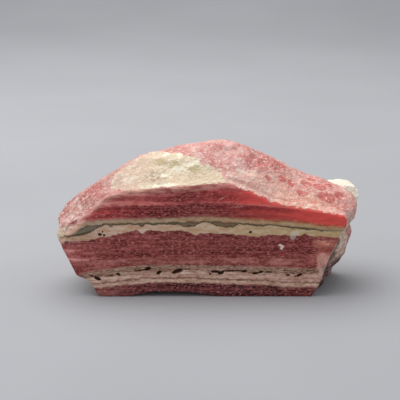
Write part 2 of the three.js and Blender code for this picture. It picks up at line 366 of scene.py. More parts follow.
# %% [markdown]
# ## Solution pits
#
# Water has eaten small pits along the porous layer, most of them flat and lying along the layering, and a
# few more beside the agate. They are cut as real hollows: one stretched ball for each pit, all fused and
# roughened, and then taken out of the stone by one boolean.

# %% Cut the pits
PITS = [
    # x, z, half length, half height and depth in mm, tilt in degrees
    (-38.0, 6.5, 1.35, 0.7, 1.5, -25), (-39.9, 7.4, 0.8, 0.35, 0.8, 0), (-30.9, 7.9, 0.85, 0.5, 1.1, -25),
    (-33.6, 7.4, 1.4, 0.26, 0.6, 10), (-23.2, 9.4, 2.8, 0.3, 0.8, 8), (-21.0, 9.9, 1.2, 0.7, 1.7, 18),
    (-17.2, 8.6, 1.1, 0.6, 1.4, 32), (-11.2, 9.1, 1.9, 0.7, 1.8, 26), (-10.2, 9.6, 0.8, 0.6, 1.8, 0),
    (-8.0, 9.8, 1.6, 0.26, 0.8, 0), (-4.4, 9.6, 0.8, 0.22, 0.6, 0), (0.1, 8.1, 0.4, 0.35, 0.8, 0),
    (1.9, 8.9, 1.7, 0.5, 1.5, -5), (3.8, 8.5, 1.1, 0.65, 1.8, 20), (6.8, 9.2, 2.6, 0.36, 1.0, 0),
    (9.6, 9.2, 1.6, 0.28, 0.9, 0), (11.6, 9.1, 1.1, 0.5, 1.4, 5), (15.3, 8.3, 1.2, 0.5, 1.4, 0),
    (17.2, 8.8, 1.0, 0.45, 1.3, 20), (19.8, 8.8, 1.5, 0.3, 0.9, 2), (25.4, 9.4, 0.5, 0.3, 0.8, 0),
    (26.4, 7.7, 0.8, 0.4, 1.0, 0), (28.8, 7.2, 0.4, 0.35, 0.9, 0), (30.3, 7.7, 1.2, 0.5, 1.3, 30),
    (33.8, 9.2, 2.0, 0.2, 0.5, 0), (-36.9, 22.0, 0.75, 0.6, 1.2, 0), (-35.5, 21.8, 0.45, 0.5, 1.0, 0),
    (-36.0, 22.9, 0.35, 0.35, 0.8, 0), (13.6, 22.8, 0.6, 0.45, 1.0, 10), (-48.3, 19.0, 0.5, 0.55, 0.8, 0),
]
PIT_ROUGHNESS = {"size": 0.55, "height": 0.42}
PIT_VOXEL_MM = 0.13
SMOOTH_ANGLE = 0.7  # edges that bend by more than this, in radians, stay sharp

bpy.ops.object.select_all(action="DESELECT")
balls = []
for px, pz, half_x, half_z, deep, tilt in PITS:
    bpy.ops.mesh.primitive_ico_sphere_add(subdivisions=3, radius=MM, rotation=(0, -np.radians(tilt), 0),
                                          location=(px * MM, CUT_Y_MM * MM, pz * MM),
                                          scale=(half_x, deep, half_z))
    balls.append(bpy.context.object)
for ball in balls:
    ball.select_set(True)
bpy.ops.object.join()
cutter = bpy.context.object
bpy.ops.object.transform_apply(location=True, rotation=True, scale=True)
fuse = cutter.modifiers.new("fuse", "REMESH")
fuse.mode = "VOXEL"
fuse.voxel_size = PIT_VOXEL_MM * MM
bpy.ops.object.modifier_apply(modifier=fuse.name)
ragged = bpy.data.textures.new("pit walls", "CLOUDS")
ragged.noise_scale = PIT_ROUGHNESS["size"] * MM
push = cutter.modifiers.new("ragged", "DISPLACE")
push.texture = ragged
push.texture_coords = "LOCAL"
push.strength = PIT_ROUGHNESS["height"] * MM
bpy.ops.object.modifier_apply(modifier=push.name)
cutter.select_set(False)
stone.select_set(True)
bpy.context.view_layer.objects.active = stone
cut = stone.modifiers.new("pits", "BOOLEAN")
cut.operation = "DIFFERENCE"
cut.solver = "MANIFOLD"
cut.object = cutter
bpy.ops.object.modifier_apply(modifier=cut.name)
bpy.data.objects.remove(cutter)
bpy.ops.object.shade_smooth_by_angle(angle=SMOOTH_ANGLE)
print("stone triangles:", sum(len(p.vertices) - 2 for p in stone.data.polygons))

# %% [markdown]
# ## The mineral
#
# The layers run through the whole stone. Each one starts at an edge whose height changes along the stone,
# so the material keeps one curve per edge: x in, height out. Comparing a point's height with the curves
# from the bottom up tells which layer it is in.
#
# The same layer looks dark and satin where it was sawn and pale and sugary where it was broken, because
# the broken crystals scatter the light. So every layer has two looks: a row of colours along the cut, and
# one colour for its broken surface.

# %% The layers' edges
X_HALF = 54.0  # the curves run from -X_HALF to X_HALF mm
Z_TOP = 54.0

LAYER_EDGES = {
    # [x, z] in mm on the cut, from left to right
    "line": [(-39, 2.9), (-33.5, 3.5), (-27, 4.4), (-20.3, 5.0), (-3.3, 4.9), (3.4, 4.6), (13.6, 4.3),
             (20.4, 4.0), (23.8, 3.5), (34, 3.4)],
    "pit row": [(-42, 6.4), (-38, 6.9), (-31, 8.0), (-22, 9.6), (-17, 8.9), (-11, 9.2), (-4, 9.4), (0, 8.3),
                (3, 8.8), (9, 9.0), (15, 8.4), (20, 8.7), (26, 8.2), (31, 7.6), (36, 8.2)],
    "porous top": [(-44.6, 7.4), (-42.2, 8.8), (-33.8, 9.9), (-23.6, 11.3), (-10.1, 11.3), (3.4, 11.1),
                   (16.9, 10.9), (30.5, 10.2), (36.5, 10.2)],
    "mauve top": [(-47.2, 12.3), (-33.7, 13.1), (-23.6, 13.9), (-3.3, 13.8), (16.9, 13.8), (36.5, 13.4)],
    "rose top": [(-50.3, 19.1), (-46.9, 19.7), (-41.7, 19.7), (-35.7, 21.1), (-34.3, 20.9), (-32.6, 21.6),
                 (-30.5, 22.2), (-24.5, 23.5), (-22.7, 22.4), (-19.9, 23.8), (-18.2, 23.3), (-13.7, 23.1),
                 (-9.6, 23.3), (-6.2, 22.5), (-4.6, 21.7), (-2.9, 22.5), (1.9, 22.4), (7.9, 22.2),
                 (8.7, 21.5), (10.4, 22), (12.7, 21.5), (15.6, 21.1), (20.2, 22), (26.4, 21.7),
                 (30.2, 21.3), (31.9, 22.4), (33.9, 21.3), (37.3, 21.3), (43.7, 20.8)],
    "agate bottom": [(-49.8, 21.1), (-47.4, 21.3), (-44.2, 21.8), (-40.8, 22.7), (-38.7, 23.6),
                     (-37.4, 24.8), (-34.5, 25.5), (-33.2, 24.8), (-31.8, 25.6), (-24.0, 25.6),
                     (-22.8, 24.9), (-21.6, 25.6), (-10.6, 25.7), (-8.8, 24.9), (-5.2, 25.0), (-3.4, 25.9),
                     (-1.7, 26.6), (0.8, 26.0), (2.2, 25.0), (5.2, 24.6), (7.6, 24.8), (9.6, 25.7),
                     (15.4, 25.1), (20.1, 25.3), (25.7, 24.6), (30.1, 24.1), (36.5, 23.5), (43.6, 23.2)],
    "agate top": [(-49.8, 21.3), (-47, 22.0), (-43.0, 24.1), (-40.0, 25.3), (-37.3, 25.6), (-33.5, 25.9),
                  (-26.8, 26.0), (-3.3, 26.3), (-1.7, 26.9), (5, 26.1), (10.4, 26.1), (15.4, 25.5),
                  (20.1, 25.7), (25.7, 25.0), (30.1, 24.5), (36.5, 23.9), (43.6, 23.6)],
    "tan top": [(-51.3, 23.6), (-49.9, 23.9), (-45, 25.0), (-42.4, 26.5), (-38.2, 27.3), (-31.3, 27.7),
                (-19.9, 27.9), (-11.4, 28.1), (-3.3, 28.6), (5.3, 28.3), (8.7, 27.9), (15.5, 27.6),
                (27, 26.8), (33.8, 26.0), (39, 25.2), (43.2, 24.9)],
    "crimson line": [(-38.7, 31.2), (-33.4, 31.8), (-25, 32.1), (-14.7, 32), (-9.7, 32.3), (-6.7, 32.7),
                     (1.8, 32.8), (7.3, 32.8), (10.3, 32.1), (15.4, 32), (18.9, 31.6), (22.7, 31.2),
                     (28.6, 30.7), (34.6, 30), (40.6, 29.3), (43.1, 29)],
    "saw edge": SAW_EDGE,
    "brown bottom": [(-38, 33.2), (-34, 34.3), (-30, 35.0), (-25, 35.4), (-19, 35.8), (-12, 36.8), (-8, 38.4),
                     (0, 42.0)],
}


def on_curve(x_mm):
    """Where an x in millimetres lies along the curves and the rows of colours, from 0 to 1."""
    return (x_mm + X_HALF) / (2 * X_HALF)


print("edges:", len(LAYER_EDGES), "points:", sum(len(v) for v in LAYER_EDGES.values()))

# %% [markdown]
# Each row of the next table is a layer, from the bottom up: the edge it starts at, how soft that edge is in
# millimetres, its colours along the cut, its broken colour, and its traits. The lowest layer has no edge.
# The traits are how rosy, how porous and how creamy it is, and later decide which crystals, pits and stains
# it gets.

# %% The layers
LAYERS = [
    # name, edge, softness, [(x in mm, colour)], broken colour, (rosy, porous, creamy)
    ("lower rose", None, None,
     [(-38, "#9e7065"), (-24, "#532c36"), (22, "#572c2f"), (34, "#784239")], "#9a6260", (1, 0, 0)),
    ("porous pink", "line", 1.0, [(0, "#e7baaa")], "#c4a898", (0, 1, 0)),
    ("porous tan", "pit row", 0.9, [(-15, "#ab8473"), (30, "#b08a77")], "#b39a88", (0, 1, 0)),
    ("mauve rose", "porous top", 0.5,
     [(-44, "#cd8b86"), (-34, "#e6b2ac"), (-26, "#b97e76"), (30, "#c2807a")], "#c48580", (1, 0, 0)),
    ("main rose", "mauve top", 0.6,
     [(-46, "#f6b2aa"), (-32, "#b06262"), (-10, "#9a5150"), (34, "#9e5352"), (37, "#f6b69c")],
     "#c27f78", (1, 0, 0)),
    ("cream", "rose top", 0.22,
     [(-40, "#d2b4a1"), (-34, "#dfc1ad"), (-20, "#dfc1ad"), (30, "#d3bc95")], "#ead8bc", (0, 0, 1)),
    ("grey agate", "agate bottom", 0.15, [(-40, "#817667"), (0, "#896f55")], "#b8ab98", (0, 0, 0.4)),
    ("tan", "agate top", 0.2,
     [(-26, "#ad9080"), (-10, "#a98270"), (30, "#bb8a64")], "#e4ceb0", (0, 0, 1)),
    ("lower crimson", "tan top", 1.3,
     [(-44, "#f17f78"), (-33, "#ff7676"), (-20, "#94343b"), (0, "#90343a"), (14, "#c64845"), (34, "#f05951")],
     "#ecb4aa", (1, 0, 0)),
    ("upper crimson", "crimson line", 0.3,
     [(-33, "#ffa89e"), (-24, "#fc908a"), (-8, "#b84a4f"), (10, "#f65e5b"), (30, "#ee6056")],
     "#e6b0a6", (1, 0, 0)),
    ("brown rose", "brown bottom", 1.2, [(-24, "#fcb8a8"), (-6, "#c67672")], "#e6b0a6", (1, 0, 0)),
]
print("layers:", [row[0] for row in LAYERS])

# %% [markdown]
# Position comes from Object coordinates, turned to millimetres. Each pattern is a noise of its own size,
# stretched along the layering where it follows the layers. Growth, threads, streaks and clots belong to the
# cut, and frost, flecks, cracks and crust to the broken side; the flecks are partly white grains and partly
# painted glints.

# %% Position and patterns
# A smooth step from one value to another. It can't leave its range, so it needs no clamp. Every clamp is one
# more node for the renderer, and a material this long has no room for them.
SOFT_STEP = {"interpolation_type": "SMOOTHSTEP", "clamp": False}
ROUGH_RAGGED_MM = 0.6  # how much farther back the sawn look reaches between the clots
ROUGH_START = CUT_Y_MM + 0.15 + ROUGH_RAGGED_MM  # y at which it gives way to the broken look
ROUGH_FULL = CUT_Y_MM + 0.55 + ROUGH_RAGGED_MM

mineral, rock, rock_surface = new_material("rhodochrosite_sawn_and_broken")
place = add(rock, "TexCoord", out="Object")
place_mm = add(rock, "VectorMath", {0: place, "Scale": 1 / MM}, operation="SCALE")

PATTERNS = {
    # name: (size in mm along x y z, detail, value that gives 0, value that gives 1)
    "sway": ((16, 14, 30), 2.0, 0.25, 0.75),
    "wobble": ((2.0, 2.0, 2.0), 3.0, 0.25, 0.75),
    "growth": ((60.0, 60.0, 1.9), 2.0, 0.38, 0.62),
    "threads": ((40.0, 40.0, 0.5), 2.0, 0.50, 0.64),
    "streaks": ((6.0, 6.0, 0.9), 4.0, 0.41, 0.62),
    "clots": ((1.9, 1.9, 1.1), 3.0, 0.41, 0.60),
    "grain": ((1.1, 1.1, 0.42), 2.0, 0.44, 0.66),
    "sugar": ((0.9, 0.9, 0.9), 2.0, 0.46, 0.66),
    "specks": ((1.2, 1.0, 0.7), 1.0, 0.58, 0.74),
    "patches": ((7.5, 7.5, 7.5), 3.0, 0.38, 0.62),
    "frost": ((2.6, 2.6, 2.6), 5.0, 0.42, 0.66),
    "flecks_and_glints": ((1.0, 1.0, 1.0), 2.0, 0.60, 0.70),
    "cracks": ((1.3, 1.3, 1.3), 2.0, 0.60, 0.70),
    "crust": ((9.0, 9.0, 7.0), 4.0, 0.55, 0.64),
}
pattern = {}
for name, (size, detail, low, high) in PATTERNS.items():
    stretched = add(rock, "VectorMath", {0: place_mm, 1: [1 / s for s in size]}, operation="MULTIPLY")
    raw = add(rock, "TexNoise", {"Vector": stretched, "Scale": 1.0, "Detail": detail})
    pattern[name] = add(rock, "MapRange", {0: raw, 1: low, 2: high}, **SOFT_STEP)
print("patterns:", list(pattern))

# %% [markdown]
# Some shapes need a frayed outline. For those the position itself is shifted a little by three unrelated
# noises, one for each direction. They are slices of one noise with four dimensions.
#
# Crystals are cells rather than clouds, so they come from Voronoi nodes: each cell gets its own
# brightness, and a bump later hollows it a little, like the face of a broken crystal.

# %% Shifted positions and crystals
CRYSTAL_MM = 1.5
CRYSTAL_WARP_MM = 1.8  # how far the crystals' places are shifted, so that their outlines aren't straight
CRYSTAL_WARP_CLOUD_MM = 2.2
SLICE_GAP = 10.0  # slices of the noise this far apart are unrelated


def shifted(grain_mm, detail, amounts_mm):
    """The position, shifted at random by up to half of each amount, in clouds of the size grain_mm."""
    noises = [add(rock, "TexNoise", {"Vector": place_mm, "W": SLICE_GAP * axis, "Scale": 1 / grain_mm,
                                     "Detail": detail}, noise_dimensions="4D") for axis in range(3)]
    away = add(rock, "CombineXYZ", dict(enumerate(noises)))
    away = add(rock, "VectorMath", {0: away, 1: (0.5, 0.5, 0.5)}, operation="SUBTRACT")
    return [add(rock, "VectorMath", {0: away, 1: [amount] * 3, 2: place_mm}, operation="MULTIPLY_ADD")
            for amount in amounts_mm]


warped, = shifted(CRYSTAL_WARP_CLOUD_MM, detail=2.0, amounts_mm=[CRYSTAL_WARP_MM])
crystal = add(rock, "TexVoronoi", {"Vector": warped, "Scale": 1 / CRYSTAL_MM}, out="Color")
crystal_tone = add(rock, "SeparateColor", {0: crystal})
crystal_height = add(rock, "TexVoronoi", {"Vector": warped, "Scale": 1 / CRYSTAL_MM}, out="Distance")
print("nodes for position and patterns:", len(rock.nodes))

# %% [markdown]
# Now the layers. A small wobble bends their edges everywhere, and behind the cut they sway up and down more,
# as they do in the real vein. The loop keeps three running results: the sawn colour, the broken colour and
# the traits. At each edge it mixes the next layer in above the curve.

# %% Lay down the layers
SWAY_MM = 2.4
SWAY_FULL_Y = CUT_Y_MM + 9
WOBBLE_MM = 0.55

x, y, z = (add(rock, "SeparateXYZ", {0: place_mm}, out=i) for i in range(3))
ragged_y = add(rock, "Math", {0: pattern["clots"], 1: ROUGH_RAGGED_MM, 2: y}, operation="MULTIPLY_ADD")
rough = add(rock, "MapRange", {0: ragged_y, 1: ROUGH_START, 2: ROUGH_FULL}, **SOFT_STEP)
behind = add(rock, "MapRange", {0: y, 1: CUT_Y_MM, 2: SWAY_FULL_Y}, **SOFT_STEP)
sway = add(rock, "Math", {0: pattern["sway"], 1: 0.5}, operation="SUBTRACT")
sway = add(rock, "Math", {0: sway, 1: behind}, operation="MULTIPLY")
wobble = add(rock, "Math", {0: pattern["wobble"], 1: 0.5}, operation="SUBTRACT")
height = add(rock, "Math", {0: sway, 1: SWAY_MM, 2: z}, operation="MULTIPLY_ADD")
height = add(rock, "Math", {0: wobble, 1: WOBBLE_MM, 2: height}, operation="MULTIPLY_ADD")
along = add(rock, "MapRange", {0: x, 1: -X_HALF, 2: X_HALF}, clamp=False)

above = {}
for name, points in LAYER_EDGES.items():
    unit = [(on_curve(px), pz / Z_TOP) for px, pz in points]
    edge = add(rock, "FloatCurve", {0: 1.0, 1: along}, points=unit)
    edge_mm = add(rock, "Math", {0: edge, 1: Z_TOP}, operation="MULTIPLY")
    above[name] = add(rock, "Math", {0: height, 1: edge_mm}, operation="SUBTRACT")

sawn_colour = broken_colour = traits = None
for name, edge, softness, row, broken_hex, trait in LAYERS:
    stops = [(on_curve(px), hex_value) for px, hex_value in row]
    colours = add(rock, "ValToRGB", {0: along}, stops=stops)
    if edge is None:
        sawn_colour = colours
        broken_colour = add(rock, "RGB")
        broken_colour.default_value = colour(broken_hex)
        traits = add(rock, "CombineColor", dict(enumerate(trait)))
        continue
    share = add(rock, "MapRange", {0: above[edge], 1: -softness / 2, 2: softness / 2}, **SOFT_STEP)
    sawn_colour = add(rock, "Mix", {0: share, 6: sawn_colour, 7: colours}, out=2, data_type="RGBA")
    broken_colour = add(rock, "Mix", {0: share, 6: broken_colour, 7: colour(broken_hex)}, out=2,
                        data_type="RGBA")
    traits = add(rock, "Mix", {0: share, 6: traits, 7: (*trait, 1)}, out=2, data_type="RGBA")
rosy, porous, creamy = (add(rock, "SeparateColor", {0: traits}, out=i) for i in range(3))
print("nodes so far:", len(rock.nodes))

# %% [markdown]
# Thin lines run along some edges: pale and brown ones through the porous layer, a dark olive one round the
# grey agate, dark and pale threads in the rose and the crimson, and a pale rim under the saw's edge, partly
# the pale broken grains and partly a painted highlight of the worn edge's upturned top. Some of them fade out
# along the cut.

# %% Thin lines
WHOLE = (50, 46)  # both ends lie past the cut's right end, so a line with this fade is there all along
LINES = [
    # edge, offset up, half width and softness in mm, colour, strength, (x start, x full) of its fading in
    ("line", 0.9, 0.25, 0.45, "#e8c8ae", 0.75, WHOLE),
    ("line", 1.7, 0.15, 0.35, "#8c6452", 0.75, WHOLE),
    ("line", 2.6, 0.3, 0.5, "#f2d0be", 0.45, (34, 20)),
    ("pit row", -0.75, 0.3, 0.45, "#ecd2c0", 0.6, (34, 20)),
    ("agate bottom", 0.05, 0.16, 0.2, "#5c5340", 0.85, WHOLE),
    ("agate top", -0.15, 0.16, 0.2, "#665c48", 0.85, WHOLE),
    ("rose top", -0.7, 0.35, 0.7, "#7c3c3c", 0.5, WHOLE),
    ("tan top", -1.2, 0.3, 0.5, "#d2bc9c", 0.5, WHOLE),
    ("tan top", 0.9, 0.3, 0.6, "#843c3c", 0.4, (34, 20)),
    ("crimson line", -0.6, 0.4, 0.6, "#74242c", 0.6, (34, 20)),
    ("crimson line", 0.45, 0.16, 0.4, "#dc8c84", 0.5, (34, 20)),
    ("crimson line", 2.4, 0.3, 0.7, "#8c2c32", 0.4, (13, 5)),
    # painted highlight: the cut is painted paler just under the saw's edge, partly the pale broken grains and
    # partly the light that the worn rim would catch from above
    ("saw edge", 0.4, 0.3, 2.7, "#e8b4a8", 0.7, (13, 5)),
    ("saw edge", 0.0, 0.1, 1.9, "#f0c8b0", 0.6, (5, -4)),
    ("agate bottom", 0.0, 0.3, 0.3, "#5c5340", 0.8, (-39, -42)),
]
for edge, offset, half, soft, hex_value, strength, (start, full) in LINES:
    distance = add(rock, "Math", {0: above[edge], 1: offset}, operation="SUBTRACT")
    distance = add(rock, "Math", {0: distance}, operation="ABSOLUTE")
    there = add(rock, "MapRange", {0: distance, 1: half + soft, 2: half, 4: strength}, **SOFT_STEP)
    fade = add(rock, "MapRange", {0: x, 1: start, 2: full}, **SOFT_STEP)
    there = add(rock, "Math", {0: there, 1: fade}, operation="MULTIPLY")
    sawn_colour = add(rock, "Mix", {0: there, 6: sawn_colour, 7: colour(hex_value)}, out=2,
                      data_type="RGBA")
print("lines:", len(LINES))

# %% [markdown]
# ## The sawn look
#
# The rose layers show dark streaks along the layering, small clots, and pale specks where a crystal's
# cleavage catches the light. The cream layers only have faint stains, and the porous one is blotchy. The
# crimson is different at its ends: it turns clear and even towards the right, and paler at the upper left.

# %% Sawn look
CRIMSON_SOFT_MM = 0.6
CLEAR_END = (-4, 19)  # x over which the crimson turns clear and even towards the right
CLEAR_STRENGTH = 0.75
PINK_END = (-12, -26)  # x over which its upper part turns more even towards the left
PINK_STRENGTH = 0.4
UPPER_PART = (-4.5, 1.2)  # distance above the crimson line over which that part starts

crimson = add(rock, "MapRange", {0: above["tan top"], 1: 0.0, 2: CRIMSON_SOFT_MM}, **SOFT_STEP)
clear = add(rock, "MapRange", {0: x, 1: CLEAR_END[0], 2: CLEAR_END[1], 4: CLEAR_STRENGTH}, **SOFT_STEP)
pink = add(rock, "MapRange", {0: x, 1: PINK_END[0], 2: PINK_END[1], 4: PINK_STRENGTH}, **SOFT_STEP)
upper = add(rock, "MapRange", {0: above["crimson line"], 1: UPPER_PART[0], 2: UPPER_PART[1]}, **SOFT_STEP)
pink = add(rock, "Math", {0: pink, 1: upper}, operation="MULTIPLY")
clear = add(rock, "Math", {0: clear, 1: pink}, operation="MAXIMUM")
clear = add(rock, "Math", {0: crimson, 1: clear}, operation="MULTIPLY")
clear = add(rock, "Math", {0: 1.0, 1: clear}, operation="SUBTRACT")
grainy = add(rock, "Math", {0: rosy, 1: clear}, operation="MULTIPLY")

SAWN_TINTS = [
    # pattern, trait, blend, colour, strength
    ("growth", grainy, "MULTIPLY", "#bc8a8c", 0.8),
    ("threads", grainy, "MIX", "#cc7c76", 0.3),
    ("streaks", grainy, "MULTIPLY", "#b88a8e", 0.75),
    ("clots", grainy, "MULTIPLY", "#c49090", 0.75),
    ("streaks", creamy, "MULTIPLY", "#ece0cc", 0.7),
    ("clots", creamy, "MULTIPLY", "#ecdac8", 0.7),
    ("streaks", porous, "MULTIPLY", "#bcae9c", 0.6),
    ("threads", porous, "MULTIPLY", "#b8aa94", 0.5),
    ("clots", porous, "MULTIPLY", "#d4b0a2", 0.6),
    ("grain", grainy, "MIX", "#cc706a", 0.5),
    ("grain", porous, "MIX", "#f0d4c4", 0.35),
    ("specks", grainy, "MIX", "#e0a69e", 0.45),
    ("specks", porous, "MULTIPLY", "#a08674", 0.5),
]
for name, trait, blend, hex_value, strength in SAWN_TINTS:
    share = add(rock, "Math", {0: pattern[name], 1: trait}, operation="MULTIPLY")
    share = add(rock, "Math", {0: share, 1: strength}, operation="MULTIPLY")
    sawn_colour = add(rock, "Mix", {0: share, 6: sawn_colour, 7: colour(hex_value)}, out=2,
                      data_type="RGBA", blend_type=blend)

# %% [markdown]
# A few marks on the cut have a place of their own: a pale chip and a pale crystalline patch at the right, a
# red grain, two scratches, brown stains in the lowest layer, a pale flake at the right end, and dark spots
# beside the agate. Each is one small ellipse with a frayed rim, or two or three that run together.

# %% Marks on the cut
MARKS = [
    # x, z, half length, half height in mm, tilt in degrees, colour, strength
    (23.8, 18.2, 1.1, 0.5, -25, "#f0d8cc", 0.95), (24.1, 17.6, 0.75, 0.5, -60, "#f0d8cc", 0.95),
    (28.6, 22.6, 1.5, 0.9, 15, "#e4d6c8", 0.6), (27.9, 21.3, 1.1, 1.3, 0, "#d4c4b8", 0.55),
    (24.1, 15.0, 0.5, 0.4, 0, "#c43c3c", 0.7), (4.0, 34.6, 1.9, 0.14, 28, "#e8a49c", 0.7),
    (9.0, 31.6, 2.6, 0.2, 3, "#e49c94", 0.4), (22.6, 2.3, 0.45, 1.5, 10, "#4c2424", 0.8),
    (31.6, 2.8, 1.3, 0.35, 8, "#5c3428", 0.7), (-48.2, 19.2, 0.6, 0.7, 0, "#6c3c30", 0.7),
    (37.3, 13.4, 1.3, 1.8, 0, "#e4a898", 0.85), (37.9, 11.2, 1.8, 2.0, 0, "#e0a294", 0.85),
    (38.9, 13.2, 1.6, 2.5, 20, "#eab0a2", 0.85), (37.8, 8.6, 0.8, 2.6, 25, "#dcb0a0", 0.7),
    (-33.2, 24.7, 0.7, 0.4, 0, "#8c6c5c", 0.7), (-22.8, 25.1, 0.5, 0.4, 0, "#5c4c40", 0.7),
    (-6.7, 25.0, 0.6, 0.35, 0, "#54483c", 0.6), (7.0, 25.1, 0.45, 0.35, 0, "#54483c", 0.6),
]
MARK_FRAY_MM = 1.7
MARK_FRAY_CLOUD_MM = 0.9
MARK_RIM = (1.25, 0.75)  # a mark comes in between these two distances, as shares of its half size

mark_place, = shifted(MARK_FRAY_CLOUD_MM, detail=2.0, amounts_mm=[MARK_FRAY_MM])
for mx, mz, half_x, half_z, tilt, hex_value, strength in MARKS:
    around = add(rock, "Mapping", {"Vector": mark_place, "Location": (mx, CUT_Y_MM, mz),
                                   "Rotation": (0, -np.radians(tilt), 0), "Scale": (half_x, 1, half_z)},
                 vector_type="TEXTURE")
    distance = add(rock, "VectorMath", {0: around}, out="Value", operation="LENGTH")
    share = add(rock, "MapRange", {0: distance, 1: MARK_RIM[0], 2: MARK_RIM[1], 4: strength}, **SOFT_STEP)
    sawn_colour = add(rock, "Mix", {0: share, 6: sawn_colour, 7: colour(hex_value)}, out=2,
                      data_type="RGBA")
print("marks:", len(MARKS))

# %% [markdown]
# ## Places on the stone
#
# A few features belong to one place: the frosting above the cut, the crystals of the left shoulder, the
# cobbles, the pale lump, the crust on the right flank, painted shade on the flank's lower part, and spots
# within the cream. Each is made of one or more soft ellipsoids, and a noise frays their edges.

# %% Places
FRAYS_MM = (2.4, 5.0)
FRAY_CLOUD_MM = 2.8
COBBLE_RIM = 1.35  # a cobble's pale rim, in shares of the cobble's radius

little, frayed = shifted(FRAY_CLOUD_MM, detail=5.0, amounts_mm=FRAYS_MM)

COBBLES = [
    # middle and radii in mm
    ((33.0, -8.0, 36.6), (2.3, 1.8, 2.5)), ((37.7, -8.2, 35.6), (2.4, 1.9, 2.5)),
    ((39.4, -12.3, 33.1), (3.0, 2.4, 2.6)), ((44.1, -9.6, 32.9), (1.8, 1.9, 2.4)),
    ((19.8, -12.2, 39.8), (1.4, 1.1, 1.6)), ((24.4, -10.2, 38.6), (1.5, 1.5, 2.0)),
    ((27.6, -10.4, 37.6), (1.5, 2.1, 2.0)), ((34.6, -4.0, 37.2), (1.8, 1.3, 2.0)),
    ((41.0, -5.4, 35.4), (2.0, 1.5, 2.0)), ((31.0, -12.8, 34.4), (2.0, 1.2, 2.0)),
]
PLACES = {
    # name: [(middle, radii in mm)], softness as a share of the radius, frayed by
    "frosted": ([((12, -16.5, 38), (12, 5.0, 6)), ((27, -16, 32), (13, 5, 5)), ((20, -13.5, 38), (8, 3, 5))],
                0.6, frayed),
    "warm": ([((33, -17, 31), (14, 4, 4))], 0.6, frayed),
    "cobble rims": ([(middle, [r * COBBLE_RIM for r in radii]) for middle, radii in COBBLES], 0.3, little),
    "cobbles": (COBBLES, 0.3, little),
    "crest": ([((4.1, -14.4, 43.6), (3.2, 0.8, 1.4)), ((10.0, -14.4, 42.4), (3.6, 0.7, 1.3)),
               ((16.2, -13.3, 40.9), (3.4, 0.7, 1.3)), ((21.4, -11.4, 39.7), (2.6, 0.7, 1.2))], 0.9, little),
    "deep rose": ([((15.5, -8.5, 44.5), (5.5, 4.0, 4)), ((21, -5, 43), (5, 4, 4)),
                   ((-39.5, -11, 34), (4.5, 4, 3.5))], 0.7, frayed),
    "lilac": ([((9.3, -11.4, 45.0), (3.6, 2.2, 3))], 0.8, frayed),
    "shoulder": ([((-46, -13, 28), (8, 9, 7))], 0.35, frayed),
    "brown streak": ([((-12, -4.8, 47.8), (6.5, 1.8, 1.6))], 0.6, little),
    "lump": ([((45.8, 4.6, 29.7), (8.4, 7.6, 8.2))], 0.12, frayed),
    "flank": ([((46, -12, 16), (7, 7, 11))], 0.3, frayed),
    # painted shade: the lower part of the right flank, which faces down and away from the light
    "painted shade at flank foot": ([((43, -9, 5), (9, 10, 6.5))], 0.3, frayed),
    "flake": ([((38.8, -18.8, 13.2), (1.9, 1.6, 2.4))], 0.3, little),
    "olive": ([((-11.4, -11.8, 44.2), (2.6, 1.8, 2)), ((-5.4, -14.4, 43.4), (2.6, 1.2, 2)),
               ((-16.5, -10.0, 44.6), (2.0, 2.0, 2))], 0.8, frayed),
    "bright": ([((-14.6, -14.6, 41.6), (2.2, 1.0, 1.6)), ((-10.6, -13.4, 43.2), (2.6, 1.0, 1.6)),
                ((-6.0, -12.7, 44.6), (2.4, 0.8, 1.6)), ((-15.0, -18.8, 38.8), (4.5, 1.4, 2)),
                ((-14.6, -6.7, 46.8), (1.8, 1.0, 1.2)), ((-10.1, -9.1, 47.0), (1.0, 0.8, 1.2))], 0.7, frayed),
    "speckled": ([((-18.4, -15.4, 40.8), (4.0, 2.4, 3))], 0.8, frayed),
}
there_is = {}
for name, (spots, soft, from_place) in PLACES.items():
    total = None
    for middle, radii in spots:
        around = add(rock, "Mapping", {"Vector": from_place, "Location": middle, "Scale": radii},
                     vector_type="TEXTURE")
        distance = add(rock, "VectorMath", {0: around}, out="Value", operation="LENGTH")
        spot = add(rock, "MapRange", {0: distance, 1: 1 + soft / 2, 2: 1 - soft / 2}, **SOFT_STEP)
        total = spot if total is None else add(rock, "Math", {0: total, 1: spot}, operation="MAXIMUM")
    there_is[name] = total
print("places:", list(there_is))

# %% [markdown]
# The cream patch has a clear outline: it reaches up to the ridge on the left, slants down to the cut on the
# right, and leaves a strip of rose above the saw's edge. Two curves over x hold its far and near limits.

# %% Cream patch
PATCH_FAR = [(-34.5, -19), (-33.4, -13.5), (-32.8, -10.7), (-31.2, -8.5), (-29.6, -6.8), (-27.9, -5.8),
             (-26.3, -4.8), (-23.9, -3.4), (-21.2, -1.8), (-18.4, -2.2), (-15.6, -4.6), (-13.2, -6.8),
             (-8.1, -9.8), (-3.3, -12.2), (1.0, -14.2), (4.0, -16.2), (5.8, -18.6), (6.4, -20.4)]
PATCH_NEAR = [(-34.5, -13.5), (-32.2, -15.4), (-28.6, -18.8), (-26, -20.2), (6, -20.4)]
PATCH_LOWEST = 33.0
PATCH_SOFT_MM = (-0.2, 0.3)  # the patch comes in between these distances inside its limits
Y_HALF = 22.0

